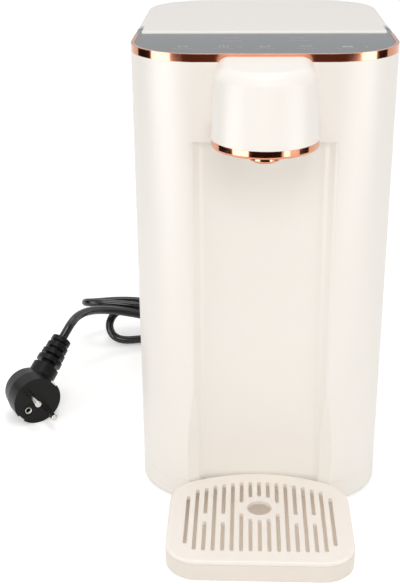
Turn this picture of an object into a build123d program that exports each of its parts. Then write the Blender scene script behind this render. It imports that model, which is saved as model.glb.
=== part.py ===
"""Countertop hot water dispenser: a tall rounded housing with a lift-off rear water tank,
a glass touch panel, a cantilevered spout and a slotted drip tray. Millimetres, +Z up.

The front of the dispenser faces -Y. The origin is the middle of the footprint, on the table.
"""
import math
import os

from build123d import *

os.makedirs("parts", exist_ok=True)

# Overall sizes of the standing body
body_width = 160.0
body_depth = 209.0
corner_radius = 42.0
panel_top = 298.5
lid_rise = 1.0
wall = 2.5
seat_gap = 0.3
running_gap = 0.05

# Levels from the table upwards
foot_height = 2.0
plinth_top = 15.0
ledge_top = 110.0
niche_drop = 51.0
niche_top = panel_top - niche_drop
trim_height = 4.6

# Front column, whose top carries the glass panel
column_depth = 68.3
column_top = panel_top - trim_height

# Trim band and glass panel on the column's top
trim_width = 2.2
trim_ledge_width = 5.0
glass_thickness = 3.0
glass_drop = 0.15
ledge_height = trim_height - glass_thickness - glass_drop

# Touch board below the glass
key_count = 5
key_pitch = 24.0
key_setback = 20.0
key_spring_height = 6.0
key_spring_radius = 4.0
key_spring_wall = 0.8
touch_board_margin = 1.0
display_width = 46.0
display_depth = 9.0
display_height = 5.0
display_setback = 42.0
board_shelf_length = 24.0
board_shelf_width = 5.0
board_shelf_height = 6.0

# Drip tray
tray_width = 116.0
tray_reach = 84.2
tray_tuck = 11.7
tray_bow_radius = 100.0
tray_front_radius = 20.0
tray_rear_radius = 24.0
tray_height = 14.5
tray_wall = 2.2
tray_floor = 2.0
tray_foot_chamfer = 0.6
tray_pocket_gap = 0.8

# Niche below the spout: a shallow scoop with a bowed back, whose edges flare at the foot round the tray
niche_half_width = 42.5
niche_side_depth = 7.0
niche_depth = tray_tuck + tray_pocket_gap
niche_side_lean = 4.5
niche_inner_radius = 6.0
niche_outer_radius = 2.5
flare_straight_top = 46.0
flare_top = 92.0

# Slots of the drip grille
grille_plate = 2.6
grille_lip = 1.5
grille_lip_width = 1.6
slot_width = 2.4
slot_pitch = 5.75
tray_edge_radius = 1.2
slot_margin = 10.3
finger_hole_radius = 7.8
finger_hole_reach = 28.6
web_radius = 13.0
bridge_columns = (4, 6)
bridge_reach = 40.0
bridge_length = 8.7

# Spout
spout_half_width = 30.0
spout_reach = 59.0
spout_top_half_width = 27.8
spout_top_reach = 51.0
spout_drop = 1.5
spout_top = panel_top - spout_drop
spout_shoulder = 8.0
spout_wall = 2.4
spout_roof = 6.0
spout_crown_wall = 3.4
ring_height = 4.7
ring_drop = 44.8
ring_bottom = panel_top - ring_drop
ring_width = 2.2
ring_edge_radius = 1.6
spout_floor_thickness = 2.0
collar_radius = 9.0
collar_drop = 8.0
collar_wall = 2.4
nozzle_bore_radius = 3.5
nozzle_drop = 0.8
spout_screw_drop = 30.5
spout_screw_z = panel_top - spout_screw_drop
spout_screw_x = 17.0
spout_hose_drop = 22.5
spout_hose_z = panel_top - spout_hose_drop
spout_boss_depth = 16.0
spout_boss_radius = 4.0
spout_rib = 3.0
spout_floor_rise = 1.0
collar_flange = 1.6
hose_hole_gap = 1.5

# Water tank, its lid and the valve in its floor
tank_gap = 0.7
tank_wall = 2.4
tank_floor = 3.0
lid_depth = 9.5
tank_top = panel_top - lid_depth
tank_corner_radius = 3.0
lug_length = 20.0
lug_thickness = 3.4
lug_gap = 0.5
lid_wall = 2.0
lid_edge_radius = 2.4
lid_lip_depth = 6.0
dock_x = -30.0
dock_rear_gap = 64.0
dock_setback = body_depth - dock_rear_gap
spigot_radius = 13.0
spigot_length = 12.0
spigot_wall = 2.6
seat_hole_radius = 6.0
valve_lift = 3.0
plunger_head_radius = 8.4
plunger_head_thickness = 2.6
plunger_stem_radius = 3.0
plunger_tail_radius = 2.2
cage_thickness = 2.0
cage_radius = 15.0
spring_wire = 0.9
spring_radius = 5.2
spring_turns = 3
float_radius = 11.0
float_edge_radius = 1.8
float_height = 16.0
float_travel = 30.0
float_x = 40.0
float_setback = 86.0
float_cap_radius = 5.0
float_cap_height = 3.0
guide_radius = 3.2
lug_root = 12.0
valve_seal_thickness = 1.2
stem_reach = 1.0
cage_holes = 6
cage_hole_radius = 1.9
cage_ring_radius = 7.4

# Water path and electrics inside the housing
inner_half_width = body_width / 2 - wall
hose_radius = 4.6
hose_bore = 3.0
barb_radius = hose_bore - running_gap
barb_bore = 1.9
cup_radius = 18.0
cup_wall = 2.5
cup_depth = 20.0
cup_bottom = ledge_top - cup_depth
cup_flange_radius = 23.0
cup_flange_thickness = 2.5
cup_outlet_shift = 9.0
dock_pin_radius = 3.0
dock_seal_height = 3.0
dock_seal_drop = 10.5
cap_radius = 18.5
cap_thickness = 8.0
barb_length = 7.0
heater_side_gap = 19.0
heater_x = heater_side_gap + cap_radius - inner_half_width
heater_setback = 40.0
heater_radius = 16.0
heater_bottom = 112.0
heater_drop = 66.5
heater_top = panel_top - heater_drop
heater_length = heater_top - heater_bottom
pump_axis_z = 45.0
pump_head_radius = 17.0
pump_head_length = 16.0
pump_cover_thickness = 4.0
motor_radius = 14.0
motor_length = 40.0
motor_side_gap = 13.5
motor_chamfer = 1.25
impeller_radius = 12.0
impeller_thickness = 5.0
impeller_blades = 6
impeller_disc = 1.6
impeller_hub_radius = 3.2
shaft_radius = 1.5
shaft_depth = 5.0
pump_chamber_radius = 13.0
pump_chamber_length = 8.0
cradle_length = 24.0
cradle_wall = 3.0
heater_wall = 2.0
cap_plug = 5.0
clamp_wall = 2.4
clamp_drop = 133.5
clamp_z = panel_top - clamp_drop
clamp_height = 15.0
clamp_arm = 10.0
clamp_foot = 28.0
cutout_drop = 100.5
cutout_z = panel_top - cutout_drop
cutout_depth = 12.0
cutout_width = 14.0
cutout_height = 14.0
feed_hose_z = 80.0
board_corner = 2.0
terminal_shift = 16.0
terminal_width = 20.0
terminal_height = 12.0
terminal_depth = 10.0
transformer_width = 28.0
transformer_height = 24.0
transformer_depth = 20.0
capacitor_radius = 5.0
sensor_z = 118.0
sensor_width = 18.0
sensor_height = 12.0
sensor_depth = 8.0
cable_setback = 54.0
cable_bend_drop = 36.5
cable_bend_z = panel_top - cable_bend_drop
leads_run = 20.0
leads_shift = 14.0
board_width = 70.0
board_thickness = 1.6
board_side_gap = 6.5
board_x = inner_half_width - board_side_gap - board_width / 2
board_bottom = 128.0
board_drop = 60.5
board_height = panel_top - board_drop - board_bottom
board_standoff = 5.0
board_mid_z = board_bottom + board_height / 2

# Fasteners and feet
screw_radius = 1.75
screw_head_radius = 3.2
screw_head_height = 2.2
base_boss_radius = 5.0
base_boss_height = 30.0
base_screw_length = 14.0
screw_margin = 52.0
boss_counterbore = 8.0
board_screw_radius = 1.35
board_screw_head_radius = 2.6
board_screw_head_height = 1.6
board_hole_margin = 5.0
standoff_radius = 3.2
foot_radius = 8.0
foot_chamfer = 0.5
foot_side_margin = 24.0
foot_end_margin = 38.0
peg_radius = 2.4
pan_floor = 3.0
sill_margin = 5.0
vent_width = 3.0
vent_length = 28.0
vent_pitch = 7.0
vent_row_pitch = 36.0
vent_columns = 9
vent_rows = 2
vent_setback = 100.0

# Mains lead and plug
cord_radius = 3.5
lead_radius = 2.2
gland_x = 28.0
gland_z = 26.0
gland_reach = 22.0
gland_radius = 6.5
gland_flange_radius = 9.0
gland_flange = 2.0
gland_tip_radius = 5.0
gland_ribs = 4
gland_groove = 0.9
cord_start_depth = 10.0
tie_x = -48.0
tie_width = 3.0
tie_thickness = 1.0
tie_slack = 0.4
tie_clear_height = 10.0
plug_radius = 18.5
plug_head = 13.0
plug_hump = 14.0
plug_hump_radius = 16.5
plug_edge_chamfer = 2.0
plug_face_x = -166.7
plug_face_setback = 100.8
plug_heading = -58.4
plug_roll = 38.8
plug_lean = 24.0
relief_root = 14.0
relief_length = 50.0
relief_neck_radius = 10.5
relief_neck_length = 24.0
relief_core_radius = 6.0
relief_ribs = 4
relief_rib = 3.6
relief_pitch = 6.2
relief_rib_radius = 10.0
relief_tip_radius = 7.8
relief_socket = 8.0
pin_radius = 2.4
pin_tip_radius = 1.2
pin_length = 19.0
pin_spacing = 19.0
pin_root = 6.0
earth_hole_radius = 2.6
earth_hole_depth = 10.0
earth_hole_offset = 10.0
contact_width = 6.0
contact_thickness = 1.2
contact_length = 7.0

# Hank of the mains lead: passes between turns at its two ends, bunched side by side under the tie
hank_setback = 244.5
hank_height = 26.0
bunch_pitch = 8.2
bunch_crown = 3.5
left_fan = 5.5
right_fan = 2.0
pass_step = 28.0
bend_share = 0.45
drop_radius = 36.0
drop_swing = 120.0
drop_steps = 3
floor_gap = 0.55
turn_tips = (-129.2, -6.0, -149.0, 3.0)
turn_setbacks = (245.5, 258.0, 244.5, 234.0)
turn_heights = (15.3, 19.0, 37.3, 21.0)
turn_radii = (14.7, 13.0, 13.5, 16.1)
turn_tilts = (49.8, -20.0, 157.0, -112.0)
lead_pull_x = -152.8
lead_pull_setback = 239.6
lead_pull_height = 45.3
lead_drop = 19.8
lead_runs = 7

# Small allowance for picking corners by their place
pick_margin = 0.5

# Derived places, measured from the middle of the footprint
front_y = (tray_reach - body_depth) / 2
rear_y = front_y + body_depth
body_y = front_y + body_depth / 2
column_rear = front_y + column_depth
tank_front = column_rear + tank_gap
dock_y = front_y + dock_setback
touch_board_top = column_top + ledge_height - key_spring_height
touch_board_bottom = touch_board_top - board_thickness


def setback(distance):
    """Y of a point that lies this far behind the flat front face."""
    return front_y + distance


def body_outline():
    """Plan of the whole standing body: a rectangle with generous corner rounds."""
    with BuildSketch() as plan:
        with Locations((0, body_y)):
            RectangleRounded(body_width, body_depth, corner_radius)
    return plan.sketch


def niche_outline():
    """Plan of the front scoop: leaning sides that run into a bowed back."""
    mouth = front_y - niche_outer_radius
    inner = niche_half_width - niche_side_lean
    with BuildSketch() as plan:
        with BuildLine():
            Polyline(
                (-inner, setback(niche_side_depth)),
                (-niche_half_width, front_y),
                (-niche_half_width, mouth),
                (niche_half_width, mouth),
                (niche_half_width, front_y),
                (inner, setback(niche_side_depth)),
            )
            ThreePointArc(
                (inner, setback(niche_side_depth)),
                (0, setback(niche_depth)),
                (-inner, setback(niche_side_depth)),
            )
        make_face()
    return plan.sketch


def front_plan(depth, scooped):
    """Plan of the body from the front face back to a depth, with or without the scoop."""
    with BuildSketch() as plan:
        add(body_outline())
        if depth < body_depth:
            with Locations((0, setback(depth / 2))):
                Rectangle(body_width, depth, mode=Mode.INTERSECT)
        if scooped:
            add(niche_outline(), mode=Mode.SUBTRACT)
            within = plan.vertices().filter_by_position(Axis.X, -niche_half_width, niche_half_width)
            back_y = setback(niche_side_depth)
            back_corners = within.filter_by_position(Axis.Y, back_y - pick_margin, back_y + pick_margin)
            fillet(back_corners, niche_inner_radius)
            within = plan.vertices().filter_by_position(Axis.X, -niche_half_width, niche_half_width)
            mouth_corners = within.filter_by_position(Axis.Y, front_y - pick_margin, front_y + pick_margin)
            fillet(mouth_corners, niche_outer_radius)
    return plan.sketch


def inset(plan_sketch, amount):
    """The same plan drawn in by a wall."""
    with BuildSketch() as plan:
        add(plan_sketch)
        offset(amount=-amount, mode=Mode.REPLACE)
    return plan.sketch


def tray_outline():
    """Plan of the drip tray: rounded front corners and a bowed back."""
    half = tray_width / 2
    bow_fall = tray_bow_radius - math.sqrt(tray_bow_radius**2 - half**2)
    front = front_y - tray_reach
    back = setback(tray_tuck)
    with BuildSketch() as plan:
        with BuildLine():
            Polyline((-half, back - bow_fall), (-half, front), (half, front), (half, back - bow_fall))
            ThreePointArc((half, back - bow_fall), (0, back), (-half, back - bow_fall))
        make_face()
        fillet(plan.vertices().group_by(Axis.Y)[0], tray_front_radius)
        rear_corners = plan.vertices().filter_by_position(Axis.Y, back - bow_fall - pick_margin, back)
        fillet(rear_corners, tray_rear_radius)
    return plan.sketch


def spout_plan(half_width, reach, inset_by):
    """Plan of the spout: straight flanks off the front face and a half-round nose."""
    flank = half_width - inset_by
    nose = front_y - reach + half_width
    with BuildSketch() as plan:
        with BuildLine():
            Polyline((-flank, nose), (-flank, front_y), (flank, front_y), (flank, nose))
            ThreePointArc((flank, nose), (0, nose - flank), (-flank, nose))
        make_face()
    return plan.sketch


def tank_plan():
    """Plan of the water tank: the body's plan behind the front column."""
    with BuildSketch() as plan:
        add(body_outline())
        with Locations((0, (tank_front + rear_y) / 2)):
            Rectangle(body_width, rear_y - tank_front, mode=Mode.INTERSECT)
        fillet(plan.vertices().group_by(Axis.Y)[0], tank_corner_radius)
    return plan.sketch


def bend_radii(points):
    """Radius for each corner of a route: a share of its shorter run over the tangent of half the turn."""
    radii = []
    for before, corner, after in zip(points, points[1:], points[2:]):
        run_in = Vector(*corner) - Vector(*before)
        run_out = Vector(*after) - Vector(*corner)
        half_turn = math.radians(run_in.get_angle(run_out) / 2)
        radii.append(bend_share * min(run_in.length, run_out.length) / math.tan(half_turn))
    return radii


def finish(builder, name):
    """Label a finished piece and write it."""
    builder.part.label = name
    export_step(builder.part, f"parts/{name}.step")


# Main housing: the front column and the low rear block that carries the tank, one moulded shell
screw_x = inner_half_width - base_boss_radius + running_gap
screw_setbacks = (screw_margin, body_depth - screw_margin)
screw_spots = [(sx * screw_x, setback(d)) for sx in (-1, 1) for d in screw_setbacks]
board_hole_x = board_width / 2 - board_hole_margin
board_hole_z = board_height / 2 - board_hole_margin
board_rows = (board_mid_z - board_hole_z, board_mid_z + board_hole_z)
board_spots = [(board_x + sx * board_hole_x, row) for sx in (-1, 1) for row in board_rows]
shelf_x = inner_half_width - board_shelf_width / 2 + wall / 2
flare_radius = tray_bow_radius + tray_pocket_gap
flare_y = setback(niche_depth) - flare_radius
flare_top_radius = math.hypot(niche_half_width, front_y - flare_y)
with BuildPart() as main_housing:
    with BuildSketch(Plane.XY.offset(plinth_top)):
        add(front_plan(body_depth, True))
    extrude(amount=ledge_top - plinth_top)
    with BuildSketch(Plane.XY.offset(ledge_top)):
        add(front_plan(column_depth, True))
    extrude(amount=niche_top - ledge_top)
    with BuildSketch(Plane.XY.offset(niche_top)):
        add(front_plan(column_depth, False))
    extrude(amount=column_top - niche_top)
    with BuildSketch(Plane.XY.offset(plinth_top)):
        add(inset(front_plan(body_depth, True), wall))
    extrude(amount=ledge_top - wall - plinth_top, mode=Mode.SUBTRACT)
    with BuildSketch(Plane.XY.offset(ledge_top - wall)):
        add(inset(front_plan(column_depth, True), wall))
    extrude(amount=niche_top + wall - ledge_top + wall, mode=Mode.SUBTRACT)
    with BuildSketch(Plane.XY.offset(niche_top + wall)):
        add(inset(front_plan(column_depth, False), wall))
    extrude(amount=column_top - niche_top - wall, mode=Mode.SUBTRACT)
    with BuildSketch(Plane.XY.offset(plinth_top)):
        with Locations((0, flare_y)):
            Circle(flare_radius + wall)
        add(front_plan(body_depth, True), mode=Mode.INTERSECT)
    extrude(amount=flare_top + wall - plinth_top)
    with BuildSketch(Plane.XY.offset(plinth_top)):
        with Locations((0, flare_y)):
            Circle(flare_radius)
    extrude(amount=flare_straight_top - plinth_top, mode=Mode.SUBTRACT)
    with BuildSketch(Plane.XY.offset(flare_straight_top)):
        with Locations((0, flare_y)):
            Circle(flare_radius)
    with BuildSketch(Plane.XY.offset(flare_top)):
        with Locations((0, flare_y)):
            Circle(flare_top_radius)
    loft(ruled=True, mode=Mode.SUBTRACT)
    with BuildSketch(Plane.XY.offset(plinth_top)):
        with Locations(*screw_spots):
            Circle(base_boss_radius)
            Circle(screw_radius + running_gap, mode=Mode.SUBTRACT)
    extrude(amount=base_boss_height)
    with BuildSketch(Plane.XZ.offset(-(column_rear - wall))):
        with Locations(*board_spots):
            Circle(standoff_radius)
            Circle(board_screw_radius + running_gap, mode=Mode.SUBTRACT)
    extrude(amount=board_standoff)
    with BuildSketch(Plane.XY.offset(touch_board_bottom - board_shelf_height)):
        with Locations((-shelf_x, setback(column_depth / 2)), (shelf_x, setback(column_depth / 2))):
            Rectangle(board_shelf_width + wall, board_shelf_length)
        add(front_plan(column_depth, False), mode=Mode.INTERSECT)
    extrude(amount=board_shelf_height)
    with Locations((dock_x, dock_y, ledge_top)):
        Hole(cup_radius - cup_wall + seat_gap, depth=wall * 2)
    with Locations(Plane.XZ.offset(-front_y)):
        with Locations((0, spout_hose_z)):
            Hole(hose_radius + hose_hole_gap, depth=wall * 2)
        with Locations((-spout_screw_x, spout_screw_z), (spout_screw_x, spout_screw_z)):
            Hole(screw_radius + running_gap, depth=wall * 2)
    with Locations(Plane.XZ.offset(wall - rear_y)):
        with Locations((gland_x, gland_z)):
            Hole(gland_radius, depth=wall * 2)
finish(main_housing, "main_housing")

# Base pan: the plinth that closes the housing from below, with a sill behind the tray
sill_depth = niche_depth + sill_margin
foot_x = body_width / 2 - foot_side_margin
foot_setbacks = (foot_end_margin, body_depth - foot_end_margin)
foot_spots = [(sx * foot_x, setback(d)) for sx in (-1, 1) for d in foot_setbacks]
with BuildPart() as base_pan:
    with BuildSketch(Plane.XY.offset(foot_height)):
        add(front_plan(body_depth, True))
    extrude(amount=plinth_top - foot_height)
    with BuildSketch(Plane.XY.offset(foot_height + pan_floor)):
        add(inset(body_outline(), wall))
        with Locations((0, setback(sill_depth / 2))):
            Rectangle(body_width, sill_depth, mode=Mode.SUBTRACT)
    extrude(amount=plinth_top, mode=Mode.SUBTRACT)
    with BuildSketch(Plane.XY):
        add(inset(tray_outline(), -tray_pocket_gap))
    extrude(amount=plinth_top, mode=Mode.SUBTRACT)
    with BuildSketch(Plane.XY.offset(foot_height)):
        with Locations(*screw_spots):
            Circle(base_boss_radius)
    extrude(amount=plinth_top - foot_height)
    with BuildSketch(Plane.XY.offset(foot_height)):
        with Locations(*screw_spots):
            Circle(screw_head_radius + seat_gap)
    extrude(amount=boss_counterbore, mode=Mode.SUBTRACT)
    with BuildSketch(Plane.XY.offset(foot_height)):
        with Locations(*screw_spots):
            Circle(screw_radius + running_gap)
    extrude(amount=plinth_top, mode=Mode.SUBTRACT)
    with BuildSketch(Plane.XY.offset(foot_height)):
        with Locations(*foot_spots):
            Circle(peg_radius + running_gap)
        with Locations((0, setback(vent_setback))):
            with GridLocations(vent_pitch, vent_row_pitch, vent_columns, vent_rows):
                SlotOverall(vent_length, vent_width, rotation=90)
    extrude(amount=pan_floor, mode=Mode.SUBTRACT)
finish(base_pan, "base_pan")

with BuildPart() as rubber_feet:
    with BuildSketch(Plane.XY):
        with Locations(*foot_spots):
            Circle(foot_radius)
    extrude(amount=foot_height)
    chamfer(rubber_feet.edges().group_by(Axis.Z)[0], foot_chamfer)
    with BuildSketch(Plane.XY.offset(foot_height)):
        with Locations(*foot_spots):
            Circle(peg_radius)
    extrude(amount=pan_floor)
finish(rubber_feet, "rubber_feet")

with BuildPart() as base_screws:
    with BuildSketch(Plane.XY.offset(foot_height + boss_counterbore - screw_head_height)):
        with Locations(*screw_spots):
            Circle(screw_head_radius)
    extrude(amount=screw_head_height)
    with BuildSketch(Plane.XY.offset(foot_height + boss_counterbore)):
        with Locations(*screw_spots):
            Circle(screw_radius)
    extrude(amount=base_screw_length)
finish(base_screws, "base_screws")

# Drip tray basin, and the slotted plate that lies on its rim with a locating lip inside
plate_bottom = tray_height - grille_plate
basin_rim = plate_bottom - seat_gap
lip_inset = tray_wall + seat_gap
with BuildPart() as tray_basin:
    with BuildSketch(Plane.XY):
        add(tray_outline())
    extrude(amount=basin_rim)
    chamfer(tray_basin.edges().group_by(Axis.Z)[0], tray_foot_chamfer)
    with BuildSketch(Plane.XY.offset(tray_floor)):
        add(inset(tray_outline(), tray_wall))
    extrude(amount=basin_rim, mode=Mode.SUBTRACT)
finish(tray_basin, "tray_basin")

tray_half = tray_width / 2
tray_front = front_y - tray_reach
bow_center = setback(tray_tuck) - tray_bow_radius
rear_round_x = tray_half - tray_rear_radius
rear_round_y = bow_center + math.sqrt((tray_bow_radius - tray_rear_radius) ** 2 - rear_round_x**2)
front_round_x = tray_half - tray_front_radius
slot_columns = int((tray_half - slot_margin - slot_width / 2) / slot_pitch)


def slot_limits(x):
    """Front and rear ends of a slot column, a steady margin inside the tray's edge."""
    edge = abs(x) + slot_width / 2
    rear = bow_center + math.sqrt((tray_bow_radius - slot_margin) ** 2 - edge**2)
    if edge > rear_round_x:
        rear = rear_round_y + math.sqrt((tray_rear_radius - slot_margin) ** 2 - (edge - rear_round_x) ** 2)
    front = tray_front + slot_margin
    if edge > front_round_x:
        reach = math.sqrt((tray_front_radius - slot_margin) ** 2 - (edge - front_round_x) ** 2)
        front = tray_front + tray_front_radius - reach
    return front, rear


def slot_spans(column):
    """Open stretches of one slot column, broken by the web round the finger hole or by a bridge."""
    x = column * slot_pitch
    front, rear = slot_limits(x)
    if abs(x) < web_radius:
        gap_center = front_y - finger_hole_reach
        gap_half = math.sqrt(web_radius**2 - x**2)
    elif abs(column) in bridge_columns:
        gap_center = front_y - bridge_reach
        gap_half = bridge_length / 2
    else:
        return [(front, rear)]
    return [(front, gap_center - gap_half), (gap_center + gap_half, rear)]


with BuildPart() as tray_grille:
    with BuildSketch(Plane.XY.offset(plate_bottom)):
        add(tray_outline())
    extrude(amount=grille_plate)
    fillet(tray_grille.edges().group_by(Axis.Z)[-1], tray_edge_radius)
    with BuildSketch(Plane.XY.offset(plate_bottom - grille_lip)):
        add(inset(tray_outline(), lip_inset))
        add(inset(tray_outline(), lip_inset + grille_lip_width), mode=Mode.SUBTRACT)
    extrude(amount=grille_lip)
    with BuildSketch(Plane.XY.offset(plate_bottom)):
        for column in range(-slot_columns, slot_columns + 1):
            for start, end in slot_spans(column):
                with Locations((column * slot_pitch, (start + end) / 2)):
                    SlotOverall(end - start, slot_width, rotation=90)
        with Locations((0, front_y - finger_hole_reach)):
            Circle(finger_hole_radius)
    extrude(amount=grille_plate, mode=Mode.SUBTRACT)
finish(tray_grille, "tray_grille")

# Copper trim band round the top of the column, with a ledge for the glass
with BuildPart() as trim_band:
    with BuildSketch(Plane.XY.offset(column_top)):
        add(front_plan(column_depth, False))
        add(inset(front_plan(column_depth, False), trim_ledge_width), mode=Mode.SUBTRACT)
    extrude(amount=ledge_height)
    with BuildSketch(Plane.XY.offset(column_top + ledge_height)):
        add(front_plan(column_depth, False))
        add(inset(body_outline(), trim_width), mode=Mode.SUBTRACT)
    extrude(amount=trim_height - ledge_height)
finish(trim_band, "trim_band")

with BuildPart() as glass_panel:
    with BuildSketch(Plane.XY.offset(column_top + ledge_height)):
        add(inset(body_outline(), trim_width + running_gap))
        with Locations((0, setback(column_depth / 2))):
            Rectangle(body_width, column_depth, mode=Mode.INTERSECT)
    extrude(amount=glass_thickness)
finish(glass_panel, "glass_panel")

# Touch board below the glass, with one contact spring for each key
key_spots = [((i - (key_count - 1) / 2) * key_pitch, setback(key_setback)) for i in range(key_count)]
with BuildPart() as touch_board:
    with BuildSketch(Plane.XY.offset(touch_board_bottom)):
        add(inset(front_plan(column_depth, False), wall + touch_board_margin))
    extrude(amount=board_thickness)
    with BuildSketch(Plane.XY.offset(touch_board_top)):
        with Locations((0, setback(display_setback))):
            Rectangle(display_width, display_depth)
    extrude(amount=display_height)
finish(touch_board, "touch_board")

with BuildPart() as touch_springs:
    with BuildSketch(Plane.XY.offset(touch_board_top)):
        with Locations(*key_spots):
            Circle(key_spring_radius)
            Circle(key_spring_radius - key_spring_wall, mode=Mode.SUBTRACT)
    extrude(amount=key_spring_height)
finish(touch_springs, "touch_springs")

# Spout: a tapering hollow nose with a rounded shoulder, hung on the front face by two screws
ring_top = ring_bottom + ring_height
nozzle_y = front_y - spout_reach + spout_half_width
spout_rib_end = spout_half_width - spout_wall
spout_rib_x = (spout_screw_x + spout_rib_end) / 2
with BuildPart() as spout_housing:
    with BuildSketch(Plane.XY.offset(ring_top)):
        add(spout_plan(spout_half_width, spout_reach, 0))
    with BuildSketch(Plane.XY.offset(spout_top)):
        add(spout_plan(spout_top_half_width, spout_top_reach, 0))
    loft(ruled=True)
    rim = spout_housing.edges().group_by(Axis.Z)[-1].sort_by(Axis.Y)[:-1]
    fillet(rim, spout_shoulder)
    with BuildSketch(Plane.XY.offset(ring_top)):
        add(spout_plan(spout_half_width, spout_reach, spout_wall))
    with BuildSketch(Plane.XY.offset(spout_top - spout_roof)):
        add(spout_plan(spout_top_half_width, spout_top_reach, spout_crown_wall))
    loft(ruled=True, mode=Mode.SUBTRACT)
    with BuildSketch(Plane.XZ.offset(-front_y)):
        with Locations((-spout_screw_x, spout_screw_z), (spout_screw_x, spout_screw_z)):
            Circle(spout_boss_radius)
        with Locations((-spout_rib_x, spout_screw_z), (spout_rib_x, spout_screw_z)):
            Rectangle(spout_rib_end - spout_screw_x, spout_rib)
    extrude(amount=spout_boss_depth)
    with BuildSketch(Plane.XZ.offset(-front_y)):
        with Locations((-spout_screw_x, spout_screw_z), (spout_screw_x, spout_screw_z)):
            Circle(screw_radius + running_gap)
    extrude(amount=spout_boss_depth - spout_wall, mode=Mode.SUBTRACT)
finish(spout_housing, "spout_housing")

with BuildPart() as spout_screws:
    with BuildSketch(Plane.XZ.offset(-front_y - wall)):
        with Locations((-spout_screw_x, spout_screw_z), (spout_screw_x, spout_screw_z)):
            Circle(screw_head_radius)
    extrude(amount=-screw_head_height)
    with BuildSketch(Plane.XZ.offset(-front_y - wall)):
        with Locations((-spout_screw_x, spout_screw_z), (spout_screw_x, spout_screw_z)):
            Circle(screw_radius)
    extrude(amount=wall + spout_boss_depth - 2 * spout_wall)
finish(spout_screws, "spout_screws")

with BuildPart() as spout_ring:
    with BuildSketch(Plane.XY.offset(ring_bottom)):
        add(spout_plan(spout_half_width, spout_reach, 0))
    extrude(amount=ring_height)
    fillet(spout_ring.edges().group_by(Axis.Z)[0].sort_by(Axis.Y)[:-1], ring_edge_radius)
    with BuildSketch(Plane.XY.offset(ring_bottom)):
        add(spout_plan(spout_half_width, spout_reach, ring_width))
    extrude(amount=ring_height, mode=Mode.SUBTRACT)
finish(spout_ring, "spout_ring")

floor_bottom = ring_bottom + spout_floor_rise
floor_top = floor_bottom + spout_floor_thickness
with BuildPart() as spout_floor:
    with BuildSketch(Plane.XY.offset(floor_bottom)):
        add(spout_plan(spout_half_width, spout_reach, ring_width + running_gap))
        with Locations((0, nozzle_y)):
            Circle(collar_radius + running_gap, mode=Mode.SUBTRACT)
    extrude(amount=spout_floor_thickness)
finish(spout_floor, "spout_floor")

collar_bottom = ring_bottom - collar_drop
with BuildPart() as nozzle_collar:
    with BuildSketch(Plane.XY.offset(collar_bottom)):
        with Locations((0, nozzle_y)):
            Circle(collar_radius)
    extrude(amount=floor_top - collar_bottom)
    with BuildSketch(Plane.XY.offset(floor_top)):
        with Locations((0, nozzle_y)):
            Circle(collar_radius + collar_wall)
    extrude(amount=collar_flange)
    fillet(nozzle_collar.edges().group_by(Axis.Z)[0], collar_wall / 2)
    with BuildSketch(Plane.XY.offset(collar_bottom)):
        with Locations((0, nozzle_y)):
            Circle(collar_radius - collar_wall)
    extrude(amount=floor_top + collar_flange - collar_bottom, mode=Mode.SUBTRACT)
finish(nozzle_collar, "nozzle_collar")

nozzle_shoulder = floor_top + collar_flange
with BuildPart() as nozzle:
    with BuildSketch(Plane.XY.offset(collar_bottom - nozzle_drop)):
        with Locations((0, nozzle_y)):
            Circle(collar_radius - collar_wall - running_gap)
    extrude(amount=nozzle_shoulder - collar_bottom + nozzle_drop)
    with BuildSketch(Plane.XY.offset(nozzle_shoulder)):
        with Locations((0, nozzle_y)):
            Circle(barb_radius)
    extrude(amount=barb_length)
    with BuildSketch(Plane.XY.offset(collar_bottom - nozzle_drop)):
        with Locations((0, nozzle_y)):
            Circle(nozzle_bore_radius)
    extrude(amount=collar_drop, mode=Mode.SUBTRACT)
    with BuildSketch(Plane.XY.offset(collar_bottom)):
        with Locations((0, nozzle_y)):
            Circle(barb_bore)
    extrude(amount=nozzle_shoulder + barb_length - collar_bottom, mode=Mode.SUBTRACT)
finish(nozzle, "nozzle")

# Water tank: open box with a valve spigot below, a float post and two side lugs that pass the lid
tank_bottom = ledge_top + 2 * seat_gap
tank_inside = tank_bottom + tank_floor
spigot_bottom = tank_bottom - spigot_length
seat_top = spigot_bottom + spigot_wall
lug_top = panel_top - lug_gap
chamber_radius = spigot_radius - spigot_wall
float_y = setback(float_setback)
post_top = tank_inside + float_height + float_travel + float_cap_height + 2 * seat_gap


def lug_strips(grow):
    """Plan of the two side lugs, grown all round by a gap."""
    length = lug_length + grow
    thickness = lug_thickness + grow
    strip_x = (body_width - thickness) / 2
    strip_y = tank_front + length / 2
    with BuildSketch() as plan:
        with Locations((-strip_x, strip_y), (strip_x, strip_y)):
            Rectangle(thickness, length)
    return plan.sketch


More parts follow.
